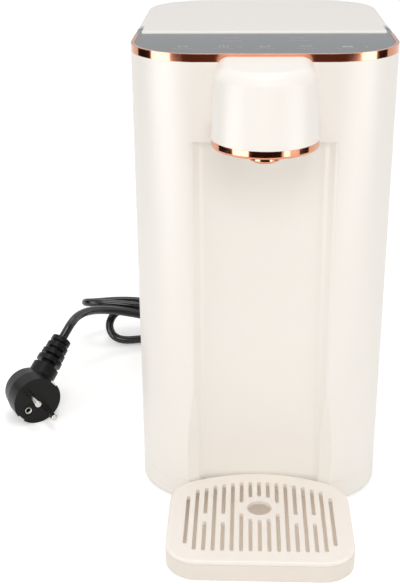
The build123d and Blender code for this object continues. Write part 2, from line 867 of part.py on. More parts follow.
with BuildPart() as water_tank:
    with BuildSketch(Plane.XY.offset(tank_bottom)):
        add(tank_plan())
    extrude(amount=tank_top - tank_bottom)
    with BuildSketch(Plane.XY.offset(tank_inside)):
        add(inset(tank_plan(), tank_wall))
    extrude(amount=tank_top - tank_inside, mode=Mode.SUBTRACT)
    with BuildSketch(Plane.XY.offset(tank_top)):
        add(lug_strips(0))
        add(tank_plan(), mode=Mode.INTERSECT)
    extrude(amount=lug_top - tank_top)
    with BuildSketch(Plane.XY.offset(tank_top - lug_root)):
        add(lug_strips(0))
        add(tank_plan(), mode=Mode.INTERSECT)
    extrude(amount=lug_root)
    with BuildSketch(Plane.XY.offset(spigot_bottom)):
        with Locations((dock_x, dock_y)):
            Circle(spigot_radius)
    extrude(amount=spigot_length)
    with BuildSketch(Plane.XY.offset(seat_top)):
        with Locations((dock_x, dock_y)):
            Circle(chamber_radius)
    extrude(amount=tank_inside - seat_top, mode=Mode.SUBTRACT)
    with BuildSketch(Plane.XY.offset(spigot_bottom)):
        with Locations((dock_x, dock_y)):
            Circle(seat_hole_radius)
    extrude(amount=spigot_wall, mode=Mode.SUBTRACT)
    with BuildSketch(Plane.XY.offset(tank_inside)):
        with Locations((float_x, float_y)):
            Circle(guide_radius)
    extrude(amount=post_top - tank_inside)
finish(water_tank, "water_tank")

with BuildPart() as float_cap:
    with BuildSketch(Plane.XY.offset(post_top - float_cap_height)):
        with Locations((float_x, float_y)):
            Circle(float_cap_radius)
            Circle(guide_radius + running_gap, mode=Mode.SUBTRACT)
    extrude(amount=float_cap_height)
finish(float_cap, "float_cap")

with BuildPart() as tank_float:
    with BuildSketch(Plane.XY.offset(tank_inside + seat_gap)):
        with Locations((float_x, float_y)):
            Circle(float_radius)
            Circle(guide_radius + seat_gap, mode=Mode.SUBTRACT)
    extrude(amount=float_height)
    rims = tank_float.edges().filter_by(GeomType.CIRCLE).group_by(SortBy.RADIUS)[-1]
    fillet(rims, float_edge_radius)
finish(tank_float, "tank_float")

# Valve: the dock's pin holds the plunger open while the tank is seated
valve_closed = seat_top + running_gap
head_bottom = valve_closed + valve_lift + valve_seal_thickness
head_top = head_bottom + plunger_head_thickness
stem_bottom = spigot_bottom - stem_reach
tail_top = tank_inside + cage_thickness + valve_lift + seat_gap
with BuildPart() as valve_cage:
    with BuildSketch(Plane.XY.offset(tank_inside)):
        with Locations((dock_x, dock_y)):
            Circle(cage_radius)
            Circle(plunger_tail_radius + seat_gap, mode=Mode.SUBTRACT)
            with PolarLocations(cage_ring_radius, cage_holes):
                Circle(cage_hole_radius, mode=Mode.SUBTRACT)
    extrude(amount=cage_thickness)
finish(valve_cage, "valve_cage")

with BuildPart() as valve_plunger:
    with BuildSketch(Plane.XY.offset(stem_bottom)):
        with Locations((dock_x, dock_y)):
            Circle(plunger_stem_radius)
    extrude(amount=head_bottom - stem_bottom)
    with BuildSketch(Plane.XY.offset(head_bottom)):
        with Locations((dock_x, dock_y)):
            Circle(plunger_head_radius)
    extrude(amount=plunger_head_thickness)
    with BuildSketch(Plane.XY.offset(head_top)):
        with Locations((dock_x, dock_y)):
            Circle(plunger_tail_radius)
    extrude(amount=tail_top - head_top)
finish(valve_plunger, "valve_plunger")

with BuildPart() as valve_seal:
    with BuildSketch(Plane.XY.offset(head_bottom - valve_seal_thickness)):
        with Locations((dock_x, dock_y)):
            Circle(plunger_head_radius)
            Circle(plunger_stem_radius + running_gap, mode=Mode.SUBTRACT)
    extrude(amount=valve_seal_thickness)
finish(valve_seal, "valve_seal")

spring_bottom = head_top + spring_wire / 2 + running_gap
spring_rise = tank_inside - spring_wire - 2 * running_gap - head_top
spring_arcs = 4 * spring_turns


def spring_point(half_arcs):
    """Point of the valve spring's wire after a number of half arcs, four arcs to a turn."""
    angle = half_arcs * math.pi / 4
    return (
        dock_x + spring_radius * math.cos(angle),
        dock_y + spring_radius * math.sin(angle),
        spring_bottom + spring_rise * half_arcs / (2 * spring_arcs),
    )


with BuildPart() as valve_spring:
    with BuildLine() as coil:
        for arc in range(spring_arcs):
            ThreePointArc(spring_point(2 * arc), spring_point(2 * arc + 1), spring_point(2 * arc + 2))
    with BuildSketch(Plane(origin=coil.line @ 0, z_dir=coil.line % 0)):
        Circle(spring_wire / 2)
    sweep()
finish(valve_spring, "valve_spring")

# Tank lid: a shallow cap with a lip inside the tank and notches for the lugs
lid_bottom = tank_top + seat_gap
lid_top = panel_top + lid_rise


def lid_plan():
    """Plan of the lid: the tank's plan less the lug notches."""
    with BuildSketch() as plan:
        add(tank_plan())
        add(lug_strips(lug_gap), mode=Mode.SUBTRACT)
    return plan.sketch


with BuildPart() as tank_lid:
    with BuildSketch(Plane.XY.offset(lid_bottom)):
        add(tank_plan())
    extrude(amount=lid_top - lid_bottom)
    fillet(tank_lid.edges().group_by(Axis.Z)[-1], lid_edge_radius)
    with BuildSketch(Plane.XY.offset(lid_bottom)):
        add(lug_strips(lug_gap))
    extrude(amount=lid_top - lid_bottom, mode=Mode.SUBTRACT)
    with BuildSketch(Plane.XY.offset(lid_bottom)):
        add(inset(lid_plan(), lid_wall))
    extrude(amount=lid_top - lid_wall - lid_bottom, mode=Mode.SUBTRACT)
    with BuildSketch(Plane.XY.offset(tank_top - lid_lip_depth)):
        add(inset(tank_plan(), lug_thickness + lug_gap))
        add(inset(tank_plan(), lug_thickness + lug_gap + lid_wall), mode=Mode.SUBTRACT)
    extrude(amount=lid_top - lid_wall - tank_top + lid_lip_depth)
finish(tank_lid, "tank_lid")

# Dock: a cup under the ledge that receives the spigot, sealed by a ring
cup_inner = cup_radius - cup_wall
flange_bottom = ledge_top - wall - cup_flange_thickness
outlet_x = dock_x + cup_outlet_shift
with BuildPart() as dock_cup:
    with BuildSketch(Plane.XY.offset(cup_bottom)):
        with Locations((dock_x, dock_y)):
            Circle(cup_radius)
    extrude(amount=flange_bottom - cup_bottom)
    with BuildSketch(Plane.XY.offset(flange_bottom)):
        with Locations((dock_x, dock_y)):
            Circle(cup_flange_radius)
    extrude(amount=cup_flange_thickness)
    with BuildSketch(Plane.XY.offset(cup_bottom + cup_wall)):
        with Locations((dock_x, dock_y)):
            Circle(cup_inner)
            Circle(dock_pin_radius, mode=Mode.SUBTRACT)
    extrude(amount=ledge_top - cup_bottom, mode=Mode.SUBTRACT)
    with BuildSketch(Plane.XY.offset(stem_bottom - seat_gap)):
        with Locations((dock_x, dock_y)):
            Circle(cup_inner)
    extrude(amount=ledge_top - cup_bottom, mode=Mode.SUBTRACT)
    with BuildSketch(Plane.XY.offset(cup_bottom - barb_length)):
        with Locations((outlet_x, dock_y)):
            Circle(barb_radius)
    extrude(amount=barb_length)
    with BuildSketch(Plane.XY.offset(cup_bottom - barb_length)):
        with Locations((outlet_x, dock_y)):
            Circle(barb_bore)
    extrude(amount=barb_length + cup_wall, mode=Mode.SUBTRACT)
finish(dock_cup, "dock_cup")

with BuildPart() as dock_seal:
    with BuildSketch(Plane.XY.offset(ledge_top - dock_seal_drop)):
        with Locations((dock_x, dock_y)):
            Circle(cup_inner - running_gap)
            Circle(spigot_radius + seat_gap, mode=Mode.SUBTRACT)
    extrude(amount=dock_seal_height)
finish(dock_seal, "dock_seal")

# Pump: a volute and cover round the impeller, driven by a motor that lies in a rubber cradle
motor_x = inner_half_width - motor_side_gap - motor_length
volute_x = motor_x - pump_head_length
pump_face_x = volute_x - pump_cover_thickness
outlet_pipe_x = volute_x + pump_chamber_length / 2
pump_top = pump_axis_z + pump_head_radius
with BuildPart() as pump_cover:
    with BuildSketch(Plane.YZ.offset(pump_face_x)):
        with Locations((dock_y, pump_axis_z)):
            Circle(pump_head_radius)
    extrude(amount=pump_cover_thickness)
    with BuildSketch(Plane.YZ.offset(pump_face_x - barb_length)):
        with Locations((dock_y, pump_axis_z)):
            Circle(barb_radius)
    extrude(amount=barb_length)
    with BuildSketch(Plane.YZ.offset(pump_face_x - barb_length)):
        with Locations((dock_y, pump_axis_z)):
            Circle(barb_bore)
    extrude(amount=barb_length + pump_cover_thickness, mode=Mode.SUBTRACT)
finish(pump_cover, "pump_cover")

with BuildPart() as pump_head:
    with BuildSketch(Plane.YZ.offset(volute_x)):
        with Locations((dock_y, pump_axis_z)):
            Circle(pump_head_radius)
    extrude(amount=pump_head_length)
    with BuildSketch(Plane.XY.offset(pump_axis_z)):
        with Locations((outlet_pipe_x, dock_y)):
            Circle(barb_radius)
    extrude(amount=pump_head_radius + barb_length)
    with BuildSketch(Plane.YZ.offset(volute_x)):
        with Locations((dock_y, pump_axis_z)):
            Circle(pump_chamber_radius)
    extrude(amount=pump_chamber_length, mode=Mode.SUBTRACT)
    with BuildSketch(Plane.YZ.offset(volute_x)):
        with Locations((dock_y, pump_axis_z)):
            Circle(shaft_radius + running_gap)
    extrude(amount=pump_head_length, mode=Mode.SUBTRACT)
    with BuildSketch(Plane.XY.offset(pump_axis_z)):
        with Locations((outlet_pipe_x, dock_y)):
            Circle(barb_bore)
    extrude(amount=pump_head_radius + barb_length, mode=Mode.SUBTRACT)
finish(pump_head, "pump_head")

impeller_x = volute_x + (pump_chamber_length - impeller_thickness) / 2
with BuildPart() as pump_impeller:
    with BuildSketch(Plane.YZ.offset(impeller_x)):
        with Locations((dock_y, pump_axis_z)):
            Circle(impeller_radius)
    extrude(amount=impeller_disc)
    with BuildSketch(Plane.YZ.offset(impeller_x)):
        with Locations((dock_y, pump_axis_z)):
            Circle(impeller_hub_radius)
            with PolarLocations(impeller_radius / 2, impeller_blades):
                Rectangle(impeller_radius, impeller_disc)
    extrude(amount=impeller_thickness)
    with BuildSketch(Plane.YZ.offset(impeller_x)):
        with Locations((dock_y, pump_axis_z)):
            Circle(shaft_radius)
    extrude(amount=motor_x + shaft_depth - seat_gap - impeller_x)
    with BuildSketch(Plane.YZ.offset(impeller_x)):
        with Locations((dock_y, pump_axis_z)):
            Circle(pump_chamber_radius)
            Circle(impeller_radius, mode=Mode.SUBTRACT)
    extrude(amount=impeller_thickness, mode=Mode.SUBTRACT)
finish(pump_impeller, "pump_impeller")

with BuildPart() as pump_motor:
    with BuildSketch(Plane.YZ.offset(motor_x)):
        with Locations((dock_y, pump_axis_z)):
            Circle(motor_radius)
    extrude(amount=motor_length)
    chamfer(pump_motor.edges().group_by(Axis.X)[-1], motor_chamfer)
    with BuildSketch(Plane.YZ.offset(motor_x)):
        with Locations((dock_y, pump_axis_z)):
            Circle(shaft_radius + running_gap)
    extrude(amount=shaft_depth, mode=Mode.SUBTRACT)
finish(pump_motor, "pump_motor")

pan_top = foot_height + pan_floor
with BuildPart() as pump_cradle:
    with BuildSketch(Plane.XY.offset(pan_top)):
        with Locations((motor_x + motor_length / 2, dock_y)):
            Rectangle(cradle_length, 2 * motor_radius + 2 * cradle_wall)
    extrude(amount=pump_axis_z - motor_radius / 2 - pan_top)
    with BuildSketch(Plane.YZ.offset(motor_x)):
        with Locations((dock_y, pump_axis_z)):
            Circle(motor_radius + running_gap)
    extrude(amount=motor_length, mode=Mode.SUBTRACT)
finish(pump_cradle, "pump_cradle")

# Heater: a steel tube between two barbed caps, clamped to the column's rear wall
heater_y = setback(heater_setback)
inner_rear = column_rear - wall
with BuildPart() as heater_tube:
    with BuildSketch(Plane.XY.offset(heater_bottom)):
        with Locations((heater_x, heater_y)):
            Circle(heater_radius)
            Circle(heater_radius - heater_wall, mode=Mode.SUBTRACT)
    extrude(amount=heater_length)
finish(heater_tube, "heater_tube")

with BuildPart() as heater_caps:
    for face_z, outward in ((heater_bottom, -1), (heater_top, 1)):
        with BuildSketch(Plane.XY.offset(face_z)):
            with Locations((heater_x, heater_y)):
                Circle(cap_radius)
        extrude(amount=outward * cap_thickness)
        with BuildSketch(Plane.XY.offset(face_z)):
            with Locations((heater_x, heater_y)):
                Circle(heater_radius - heater_wall - running_gap)
        extrude(amount=-outward * cap_plug)
        with BuildSketch(Plane.XY.offset(face_z)):
            with Locations((heater_x, heater_y)):
                Circle(barb_radius)
        extrude(amount=outward * (cap_thickness + barb_length))
        with BuildSketch(Plane.XY.offset(face_z - outward * cap_plug)):
            with Locations((heater_x, heater_y)):
                Circle(barb_bore)
        extrude(amount=outward * (cap_plug + cap_thickness + barb_length), mode=Mode.SUBTRACT)
finish(heater_caps, "heater_caps")

clamp_radius = heater_radius + clamp_wall
with BuildPart() as heater_bracket:
    with BuildSketch(Plane.XY.offset(clamp_z)):
        with Locations((heater_x, heater_y)):
            Circle(clamp_radius)
        with Locations((heater_x, (heater_y + inner_rear) / 2)):
            Rectangle(clamp_arm, inner_rear - heater_y)
        with Locations((heater_x, inner_rear - clamp_wall / 2)):
            Rectangle(clamp_foot, clamp_wall)
        with Locations((heater_x, heater_y)):
            Circle(heater_radius + running_gap, mode=Mode.SUBTRACT)
    extrude(amount=clamp_height)
finish(heater_bracket, "heater_bracket")

with BuildPart() as thermal_cutout:
    with BuildSketch(Plane.XY.offset(cutout_z)):
        with Locations((heater_x + heater_radius, heater_y)):
            Rectangle(cutout_depth, cutout_width)
        with Locations((heater_x, heater_y)):
            Circle(heater_radius + running_gap, mode=Mode.SUBTRACT)
    extrude(amount=cutout_height)
finish(thermal_cutout, "thermal_cutout")

# Control board on the column's rear wall; its larger components stand on the front
board_front = inner_rear - board_standoff - board_thickness
terminal_x = board_x + terminal_shift
cable_y = setback(cable_setback)
with BuildPart() as control_board:
    with BuildSketch(Plane.XZ.offset(-board_front - board_thickness)):
        with Locations((board_x, board_mid_z)):
            RectangleRounded(board_width, board_height, board_corner)
        with Locations(*board_spots):
            Circle(board_screw_radius + running_gap, mode=Mode.SUBTRACT)
    extrude(amount=board_thickness)
    with BuildSketch(Plane.XZ.offset(-board_front)):
        with Locations((terminal_x, board_bottom + terminal_height)):
            Rectangle(terminal_width, terminal_height)
        with Locations((board_x, board_bottom + board_height - terminal_height)):
            Rectangle(terminal_width, terminal_height)
    extrude(amount=terminal_depth)
    with BuildSketch(Plane.XZ.offset(-board_front)):
        with Locations((board_x, board_mid_z)):
            Rectangle(transformer_width, transformer_height)
    extrude(amount=transformer_depth)
    with BuildSketch(Plane.XZ.offset(-board_front)):
        with Locations((board_x, board_mid_z - transformer_height)):
            with GridLocations(3 * capacitor_radius, 0, 2, 1):
                Circle(capacitor_radius)
    extrude(amount=terminal_depth + capacitor_radius)
finish(control_board, "control_board")

with BuildPart() as board_screws:
    with BuildSketch(Plane.XZ.offset(-board_front)):
        with Locations(*board_spots):
            Circle(board_screw_head_radius)
    extrude(amount=board_screw_head_height)
    with BuildSketch(Plane.XZ.offset(-board_front)):
        with Locations(*board_spots):
            Circle(board_screw_radius)
    extrude(amount=-board_thickness - board_standoff + seat_gap)
finish(board_screws, "board_screws")

with BuildPart() as level_sensor:
    with BuildSketch(Plane.XZ.offset(-inner_rear)):
        with Locations((float_x, sensor_z)):
            RectangleRounded(sensor_width, sensor_height, board_corner)
    extrude(amount=sensor_depth)
finish(level_sensor, "level_sensor")


def tube_route(points):
    """Line of a hose or cable: straight runs joined by tangent bends."""
    with BuildLine() as line:
        FilletPolyline(*points, radius=bend_radii(points))
    return line.wire()


def along(route):
    """Plane square to a route at its start."""
    return Plane(origin=route @ 0, z_dir=route % 0)


outlet_end = nozzle_shoulder + running_gap
cap_top = heater_top + cap_thickness + running_gap
outlet_route = tube_route(
    [
        (heater_x, heater_y, cap_top),
        (heater_x, heater_y, spout_hose_z),
        (0, heater_y, spout_hose_z),
        (0, nozzle_y, spout_hose_z),
        (0, nozzle_y, outlet_end),
    ]
)
with BuildPart() as outlet_hose:
    with BuildSketch(along(outlet_route)):
        Circle(hose_radius)
        Circle(hose_bore, mode=Mode.SUBTRACT)
    sweep(path=outlet_route)
finish(outlet_hose, "outlet_hose")

feed_route = tube_route(
    [
        (outlet_pipe_x, dock_y, pump_top + running_gap),
        (outlet_pipe_x, dock_y, feed_hose_z),
        (heater_x, heater_y, feed_hose_z),
        (heater_x, heater_y, heater_bottom - cap_thickness - running_gap),
    ]
)
with BuildPart() as feed_hose:
    with BuildSketch(along(feed_route)):
        Circle(hose_radius)
        Circle(hose_bore, mode=Mode.SUBTRACT)
    sweep(path=feed_route)
finish(feed_hose, "feed_hose")

inlet_route = tube_route(
    [
        (outlet_x, dock_y, cup_bottom - running_gap),
        (outlet_x, dock_y, pump_axis_z),
        (pump_face_x - running_gap, dock_y, pump_axis_z),
    ]
)
with BuildPart() as inlet_hose:
    with BuildSketch(along(inlet_route)):
        Circle(hose_radius)
        Circle(hose_bore, mode=Mode.SUBTRACT)
    sweep(path=inlet_route)
finish(inlet_hose, "inlet_hose")

panel_route = tube_route(
    [
        (board_x, cable_y, board_bottom + board_height - terminal_height / 2 + running_gap),
        (board_x, cable_y, cable_bend_z),
        (board_x, heater_y, cable_bend_z + (cable_y - heater_y)),
        (board_x, heater_y, touch_board_bottom - running_gap),
    ]
)
with BuildPart() as panel_cable:
    with BuildSketch(along(panel_route)):
        Circle(lead_radius)
    sweep(path=panel_route)
finish(panel_cable, "panel_cable")

gland_inner_y = rear_y - wall - gland_flange
leads_route = tube_route(
    [
        (gland_x, gland_inner_y - running_gap, gland_z),
        (gland_x, gland_inner_y - leads_run, gland_z),
        (board_x + leads_shift, gland_inner_y - 2 * leads_run, feed_hose_z),
        (terminal_x, cable_y, feed_hose_z + leads_run / 2),
        (terminal_x, cable_y, board_bottom + terminal_height / 2 - running_gap),
    ]
)
with BuildPart() as mains_leads:
    with BuildSketch(along(leads_route)):
        Circle(lead_radius)
    sweep(path=leads_route)
finish(mains_leads, "mains_leads")

# Cord gland: a grommet in the rear wall that runs out into a ribbed, tapering sleeve
gland_tip_y = rear_y + gland_flange + gland_reach
cord_bore = cord_radius + running_gap
rib_step = gland_reach / (2 * gland_ribs)


def sleeve_point(steps, groove):
    """Point of the gland's tapering sleeve after a number of rib steps, sunk by a groove."""
    radius = gland_radius + (gland_tip_radius - gland_radius) * steps / (2 * gland_ribs)
    return (rear_y + gland_flange + steps * rib_step, gland_z + radius - groove)


sleeve_points = []
for step in range(2 * gland_ribs):
    groove = gland_groove if step % 2 else 0
    sleeve_points += [sleeve_point(step, groove), sleeve_point(step + 1, groove)]
with BuildPart() as cord_gland:
    with BuildSketch(Plane.YZ.offset(gland_x)):
        with BuildLine():
            Polyline(
                (gland_inner_y, gland_z + cord_bore),
                (gland_inner_y, gland_z + gland_flange_radius),
                (rear_y - wall, gland_z + gland_flange_radius),
                (rear_y - wall, gland_z + gland_radius - running_gap),
                (rear_y, gland_z + gland_radius - running_gap),
                (rear_y, gland_z + gland_flange_radius),
                (rear_y + gland_flange, gland_z + gland_flange_radius),
                *sleeve_points,
                (gland_tip_y, gland_z + cord_bore),
                close=True,
            )
        make_face()
    revolve(axis=Axis((gland_x, 0, gland_z), (0, 1, 0)))
finish(cord_gland, "cord_gland")

# Plug: a round two-pin head standing on its rim, with the cord leaving up and back through a ribbed relief
heading = math.radians(plug_heading)
roll = math.radians(plug_roll)
lean = math.radians(plug_lean)
pin_way = Vector(math.cos(heading), math.sin(heading), 0)
rim_way = Vector(-math.sin(heading) * math.cos(roll), math.cos(heading) * math.cos(roll), math.sin(roll))
relief_way = rim_way * math.cos(lean) - pin_way * math.sin(lean)
plug_face_center = Vector(plug_face_x, setback(plug_face_setback), plug_radius + running_gap)
relief_center = plug_face_center - pin_way * relief_root
relief_tip = relief_center + relief_way * relief_length
face_plane = Plane(origin=plug_face_center, x_dir=rim_way, z_dir=pin_way)
relief_plane = Plane(origin=relief_center, z_dir=relief_way)
pin_spots = [(0, -pin_spacing / 2), (0, pin_spacing / 2)]
contact_spots = [(-plug_radius + contact_thickness / 2, 0), (plug_radius - contact_thickness / 2, 0)]
with BuildPart() as plug_body:
    with BuildSketch(face_plane):
        Circle(plug_radius)
    extrude(amount=-plug_head)
    with BuildSketch(face_plane.offset(-plug_head)):
        Circle(plug_radius)
    with BuildSketch(face_plane.offset(-plug_head - plug_hump)):
        Circle(plug_hump_radius)
    loft(ruled=True)
    far_rim = plug_body.edges().sort_by(lambda edge: (edge.center() - plug_face_center).dot(pin_way))[0]
    chamfer(far_rim, plug_edge_chamfer)
    with BuildSketch(relief_plane):
        Circle(relief_neck_radius)
    extrude(amount=relief_neck_length)
    with BuildSketch(relief_plane):
        Circle(relief_core_radius)
    extrude(amount=relief_length)
    for rib in range(relief_ribs):
        share = rib / (relief_ribs - 1)
        rib_radius = relief_tip_radius + (relief_rib_radius - relief_tip_radius) * share
        with BuildSketch(relief_plane.offset(relief_length - relief_rib - rib * relief_pitch)):
            Circle(rib_radius)
        extrude(amount=relief_rib)
    with BuildSketch(relief_plane.offset(relief_length - relief_socket)):
        Circle(cord_bore)
    extrude(amount=relief_socket, mode=Mode.SUBTRACT)
    with BuildSketch(face_plane):
        with Locations(*pin_spots):
            Circle(pin_radius + running_gap)
    extrude(amount=-pin_root, mode=Mode.SUBTRACT)
    with BuildSketch(face_plane):
        with Locations((-earth_hole_offset, 0)):
            Circle(earth_hole_radius)
    extrude(amount=-earth_hole_depth, mode=Mode.SUBTRACT)
    with BuildSketch(face_plane):
        with Locations(*contact_spots):
            Rectangle(contact_thickness + running_gap, contact_width + 2 * running_gap)
    extrude(amount=-contact_length, mode=Mode.SUBTRACT)
finish(plug_body, "plug_body")

with BuildPart() as plug_pins:
    with BuildSketch(face_plane.offset(-pin_root)):
        with Locations(*pin_spots):
            Circle(pin_radius)
    extrude(amount=pin_root + pin_length)
    tips = plug_pins.edges().sort_by(lambda edge: (edge.center() - plug_face_center).dot(pin_way))[-2:]
    fillet(tips, pin_tip_radius)
finish(plug_pins, "plug_pins")

with BuildPart() as plug_contacts:
    with BuildSketch(face_plane.offset(-contact_length)):
        with Locations(*contact_spots):
            Rectangle(contact_thickness, contact_width)
        Circle(plug_radius, mode=Mode.INTERSECT)
    extrude(amount=contact_length)
finish(plug_contacts, "plug_contacts")


def turn_corners(turn):
    """Three corners of a half turn of the hank: half a hexagon drawn round the turn's circle.

    The first turn and every second one after it lie at the left end, the others at the right end.
    The tilt lays the turn flat at 0 degrees and stands it on edge at 90.
    """
    radius = turn_radii[turn]
    tilt = math.radians(turn_tilts[turn])
    outward = 1 if turn % 2 else -1
    middle = Vector(turn_tips[turn] - outward * radius, setback(turn_setbacks[turn]), turn_heights[turn])
    across = Vector(0, math.cos(tilt), math.sin(tilt)) * radius
    shoulder = Vector(outward * radius * math.tan(math.pi / 6), 0, 0)
    return [middle + shoulder - across, middle + shoulder * 2, middle + shoulder + across]


def bunch_place(turn):
    """Place under the tie of the pass that follows a turn: side by side, the outer ones lower."""
    side = 1 if turn < len(turn_tips) / 2 else -1
    rank = side * (turn % 2 + 1 / 2)
    place = Vector(tie_x, setback(hank_setback + bunch_pitch * rank), hank_height - bunch_crown * rank**2)
    return place, rank


def pass_sway(turn, rank):
    """Sideways bow of a pass between the tie and a turn: at the left end it grows from the plug's side."""
    return right_fan * rank if turn % 2 else left_fan * (rank + 1 / 2)


def eased_run(start, end, sway, to_tie):
    """Corners between a turn and the tie: even steps along x, in line with the turn, swaying out midway."""
    steps = math.ceil(abs(end.X - start.X) / pass_step)
    corners = []
    for step in range(1, steps):
        angle = math.pi * step / steps
        ease = 1 - math.cos(angle / 2) if to_tie else math.sin(angle / 2)
        x = start.X + (end.X - start.X) * step / steps
        across = start + (end - start) * ease
        corners.append(Vector(x, across.Y + sway * math.sin(angle), across.Z))
    return corners


def drop_corner(step):
    """Corner of the cord's turn from the gland down to the table: a polygon drawn round a part circle."""
    swing = math.radians(drop_swing) / drop_steps
    reach = drop_radius / math.cos(swing / 2)
    angle = swing * (step + 1 / 2)
    fall = (gland_z - cord_radius - floor_gap) * step / (drop_steps - 1)
    x = gland_x - drop_radius + reach * math.cos(angle)
    return Vector(x, gland_tip_y + cord_start_depth + reach * math.sin(angle), gland_z - fall)


def lead_point(share):
    """Point of the free lead on its curve from the tie over to the plug."""
    left = 1 - share
    pull = Vector(lead_pull_x, setback(lead_pull_setback), lead_pull_height)
    crest = relief_entry + relief_way * lead_drop
    first = bunch_place(len(turn_tips) - 1)[0]
    near = first * left**3 + pull * (3 * left**2 * share)
    return near + crest * (3 * left * share**2) + relief_entry * share**3


# Mains cord: out of the gland, round and along the table, to and fro through the tie, then over to the plug
relief_entry = relief_tip + relief_way * (relief_socket - running_gap)
cord_points = [Vector(gland_x, gland_tip_y - cord_start_depth, gland_z)]
cord_points += [drop_corner(step) for step in range(drop_steps)]
rank = 0
for turn in range(len(turn_tips)):
    corners = turn_corners(turn)
    cord_points += eased_run(cord_points[-1], corners[0], pass_sway(turn, rank), False) + corners
    place, rank = bunch_place(turn)
    cord_points += eased_run(corners[-1], place, pass_sway(turn, rank), True) + [place]
cord_points += [lead_point(run / lead_runs) for run in range(1, lead_runs + 1)]
cord_points.append(relief_tip - relief_way * (relief_socket - running_gap))
cord_points = [tuple(point) for point in cord_points]
cord_radii = bend_radii(cord_points)
cord_route = tube_route(cord_points)
with BuildPart() as mains_cord:
    with BuildSketch(along(cord_route)):
        Circle(cord_radius)
    sweep(path=cord_route)
finish(mains_cord, "mains_cord")

sample_step = cord_radius / 2
sample_count = int(cord_route.length / sample_step)
samples = [cord_route.position_at(i / sample_count) for i in range(sample_count + 1)]
skip = int(math.pi * cord_radius * 2 / sample_step)
near = min((a - b).length for i, a in enumerate(samples) for b in samples[i + skip :])
plain_volume = math.pi * cord_radius**2 * cord_route.length
print("cord corners", [tuple(round(value, 1) for value in point) for point in cord_points])
print("cord bend radii", [round(r, 1) for r in cord_radii])
print("cord length", round(cord_route.length, 1), "least gap to itself", round(near - 2 * cord_radius, 2))
print("cord lowest point", round(min(p.Z for p in samples) - cord_radius, 2))
print("cord volume over section times length", round(mains_cord.part.volume / plain_volume, 3))

tie_strands = [(p.Y, p.Z) for p in samples if abs(p.X - tie_x) < tie_width and p.Z > tie_clear_height]


def tie_hull(grow):
    """Loop drawn tight round the strands, grown by an allowance."""
    with BuildSketch() as plan:
        with Locations(*tie_strands):
            Circle(cord_radius + grow)
        make_hull()
    return plan.sketch


with BuildPart() as cord_tie:
    with BuildSketch(Plane.YZ.offset(tie_x - tie_width / 2)):
        add(tie_hull(tie_slack + tie_thickness))
        add(tie_hull(tie_slack), mode=Mode.SUBTRACT)
    extrude(amount=tie_width)
finish(cord_tie, "cord_tie")
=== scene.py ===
import math

import bpy
import numpy as np
from mathutils import Matrix, Vector


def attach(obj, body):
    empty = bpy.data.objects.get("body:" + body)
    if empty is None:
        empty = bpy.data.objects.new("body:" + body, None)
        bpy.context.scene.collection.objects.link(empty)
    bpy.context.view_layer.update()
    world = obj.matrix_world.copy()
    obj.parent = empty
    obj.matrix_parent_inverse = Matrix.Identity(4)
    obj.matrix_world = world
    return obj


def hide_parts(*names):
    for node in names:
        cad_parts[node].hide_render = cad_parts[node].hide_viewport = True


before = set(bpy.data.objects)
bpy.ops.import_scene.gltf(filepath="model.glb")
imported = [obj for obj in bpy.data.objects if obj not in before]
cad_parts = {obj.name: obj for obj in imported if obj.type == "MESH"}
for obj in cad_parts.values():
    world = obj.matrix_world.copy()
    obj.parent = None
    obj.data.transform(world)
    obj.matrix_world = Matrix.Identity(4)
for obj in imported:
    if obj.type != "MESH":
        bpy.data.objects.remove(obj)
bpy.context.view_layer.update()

MM = 0.001
scene = bpy.context.scene
scene.view_settings.view_transform = "Standard"


def linear(code):
    """An sRGB hex colour as linear RGBA."""
    srgb = np.array([int(code[i : i + 2], 16) for i in (1, 3, 5)]) / 255
    rgb = np.where(srgb <= 0.04045, srgb / 12.92, ((srgb + 0.055) / 1.055) ** 2.4)
    return (*rgb.tolist(), 1.0)


def add_node(tree, kind, sockets=None, **settings):
    """Adds a node, sets its properties, and gives its sockets values or links."""
    made = tree.nodes.new(kind)
    for key, value in settings.items():
        setattr(made, key, value)
    for socket, value in (sockets or {}).items():
        if isinstance(value, bpy.types.NodeSocket):
            tree.links.new(value, made.inputs[socket])
        else:
            made.inputs[socket].default_value = value
    return made


def new_material(name):
    """A node material with nothing in it yet, and its tree."""
    material = bpy.data.materials.new(name)
    material.use_nodes = True
    material.node_tree.nodes.clear()
    return material, material.node_tree


def mixed(tree, factor, low, high):
    """A colour between two hex codes, by a factor from 0 to 1."""
    tone = add_node(tree, "ShaderNodeMix", {"Factor": factor}, data_type="RGBA")
    tone.inputs[6].default_value = linear(low)
    tone.inputs[7].default_value = linear(high)
    return tone.outputs[2]


